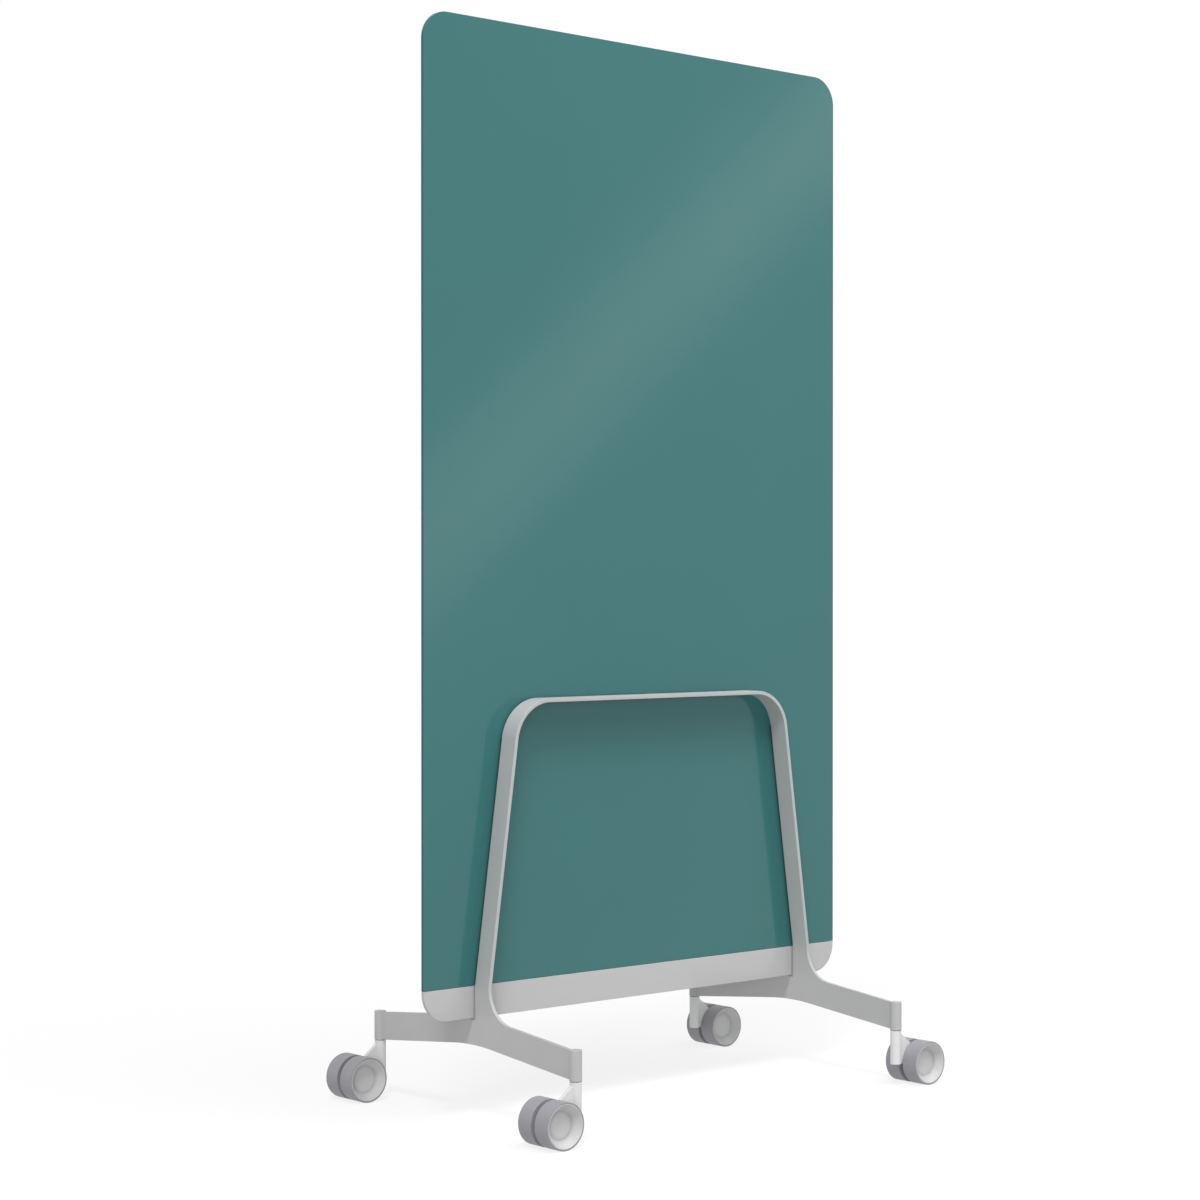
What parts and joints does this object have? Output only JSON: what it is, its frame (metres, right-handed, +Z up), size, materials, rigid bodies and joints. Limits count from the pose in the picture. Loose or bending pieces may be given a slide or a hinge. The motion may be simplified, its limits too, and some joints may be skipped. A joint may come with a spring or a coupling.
{
  "type": "mobile glass whiteboard",
  "caption": "Tall painted-glass writing panel with rounded corners, held upright by a bent flat-bar hoop and two low side plates that roll on twin-wheel swivel casters.",
  "frame": {"origin": "on the floor, under the middle of the panel", "axes": "+Z up, +X along the panel's width to the right as seen from the front, -Y towards the front, the side that the hoop stands on"},
  "size_m": [0.9144, 0.5648, 1.7416],
  "materials": {
    "painted_glass": "polished glass, painted teal on the back, opaque",
    "sheet_steel": "plain thin sheet",
    "rail_silver": "satin silver",
    "frame_paint": "satin silver-grey powder coat on steel",
    "clear_tape": "clear bonding tape, showing the glass behind it",
    "grey_nylon": "moulded nylon",
    "bright_steel": "bright zinc-plated steel",
    "caster_white": "satin off-white moulding",
    "hub_white": "satin off-white moulding",
    "tyre_grey": "smooth soft grey tread"
  },
  "bodies": {
    "board_and_frame": {"front_glass": "painted_glass", "rear_glass": "painted_glass", "magnetic_steel_sheet": "sheet_steel", "rail_front": "rail_silver", "rail_rear": "rail_silver", "hoop_band": "frame_paint", "side_plate_left": "frame_paint", "side_plate_right": "frame_paint", "panel_seat_left": "grey_nylon", "panel_seat_right": "grey_nylon", "bond_strip_left": "clear_tape", "bond_strip_right": "clear_tape", "bond_strip_top": "clear_tape", "rail_screw_left_lower": "bright_steel", "rail_screw_left_upper": "bright_steel", "rail_screw_right_lower": "bright_steel", "rail_screw_right_upper": "bright_steel", "caster_sleeve_front_left": "frame_paint", "caster_sleeve_front_right": "frame_paint", "caster_sleeve_rear_left": "frame_paint", "caster_sleeve_rear_right": "frame_paint", "stem_bush_front_left": "grey_nylon", "stem_bush_front_right": "grey_nylon", "stem_bush_rear_left": "grey_nylon", "stem_bush_rear_right": "grey_nylon", "caster_stem_front_left": "bright_steel", "caster_stem_front_right": "bright_steel", "caster_stem_rear_left": "bright_steel", "caster_stem_rear_right": "bright_steel", "thrust_washer_front_left": "grey_nylon", "thrust_washer_front_right": "grey_nylon", "thrust_washer_rear_left": "grey_nylon", "thrust_washer_rear_right": "grey_nylon"},
    "caster_front_left": {"caster_yoke_front_left": "caster_white", "wheel_axle_front_left": "bright_steel"},
    "caster_front_right": {"caster_yoke_front_right": "caster_white", "wheel_axle_front_right": "bright_steel"},
    "caster_rear_left": {"caster_yoke_rear_left": "caster_white", "wheel_axle_rear_left": "bright_steel"},
    "caster_rear_right": {"caster_yoke_rear_right": "caster_white", "wheel_axle_rear_right": "bright_steel"},
    "wheel_front_left_front": {"wheel_hub_front_left_front": "hub_white", "tyre_front_left_front": "tyre_grey"},
    "wheel_front_left_rear": {"wheel_hub_front_left_rear": "hub_white", "tyre_front_left_rear": "tyre_grey"},
    "wheel_front_right_front": {"wheel_hub_front_right_front": "hub_white", "tyre_front_right_front": "tyre_grey"},
    "wheel_front_right_rear": {"wheel_hub_front_right_rear": "hub_white", "tyre_front_right_rear": "tyre_grey"},
    "wheel_rear_left_front": {"wheel_hub_rear_left_front": "hub_white", "tyre_rear_left_front": "tyre_grey"},
    "wheel_rear_left_rear": {"wheel_hub_rear_left_rear": "hub_white", "tyre_rear_left_rear": "tyre_grey"},
    "wheel_rear_right_front": {"wheel_hub_rear_right_front": "hub_white", "tyre_rear_right_front": "tyre_grey"},
    "wheel_rear_right_rear": {"wheel_hub_rear_right_rear": "hub_white", "tyre_rear_right_rear": "tyre_grey"}
  },
  "joints": [
    {"name": "swivel_front_left", "type": "hinge", "parent": "board_and_frame", "child": "caster_front_left", "pos_m": [-0.3555, -0.248, 0.09], "axis": [0, 0, 1], "continuous": true},
    {"name": "swivel_front_right", "type": "hinge", "parent": "board_and_frame", "child": "caster_front_right", "pos_m": [0.3555, -0.248, 0.09], "axis": [0, 0, 1], "continuous": true},
    {"name": "swivel_rear_left", "type": "hinge", "parent": "board_and_frame", "child": "caster_rear_left", "pos_m": [-0.3555, 0.248, 0.09], "axis": [0, 0, 1], "continuous": true},
    {"name": "swivel_rear_right", "type": "hinge", "parent": "board_and_frame", "child": "caster_rear_right", "pos_m": [0.3555, 0.248, 0.09], "axis": [0, 0, 1], "continuous": true},
    {"name": "roll_front_left_front", "type": "hinge", "parent": "caster_front_left", "child": "wheel_front_left_front", "pos_m": [-0.404, -0.248, 0.0365], "axis": [0, 1, 0], "continuous": true},
    {"name": "roll_front_left_rear", "type": "hinge", "parent": "caster_front_left", "child": "wheel_front_left_rear", "pos_m": [-0.404, -0.248, 0.0365], "axis": [0, 1, 0], "continuous": true},
    {"name": "roll_front_right_front", "type": "hinge", "parent": "caster_front_right", "child": "wheel_front_right_front", "pos_m": [0.404, -0.248, 0.0365], "axis": [0, 1, 0], "continuous": true},
    {"name": "roll_front_right_rear", "type": "hinge", "parent": "caster_front_right", "child": "wheel_front_right_rear", "pos_m": [0.404, -0.248, 0.0365], "axis": [0, 1, 0], "continuous": true},
    {"name": "roll_rear_left_front", "type": "hinge", "parent": "caster_rear_left", "child": "wheel_rear_left_front", "pos_m": [-0.404, 0.248, 0.0365], "axis": [0, 1, 0], "continuous": true},
    {"name": "roll_rear_left_rear", "type": "hinge", "parent": "caster_rear_left", "child": "wheel_rear_left_rear", "pos_m": [-0.404, 0.248, 0.0365], "axis": [0, 1, 0], "continuous": true},
    {"name": "roll_rear_right_front", "type": "hinge", "parent": "caster_rear_right", "child": "wheel_rear_right_front", "pos_m": [0.404, 0.248, 0.0365], "axis": [0, 1, 0], "continuous": true},
    {"name": "roll_rear_right_rear", "type": "hinge", "parent": "caster_rear_right", "child": "wheel_rear_right_rear", "pos_m": [0.404, 0.248, 0.0365], "axis": [0, 1, 0], "continuous": true}
  ]
}
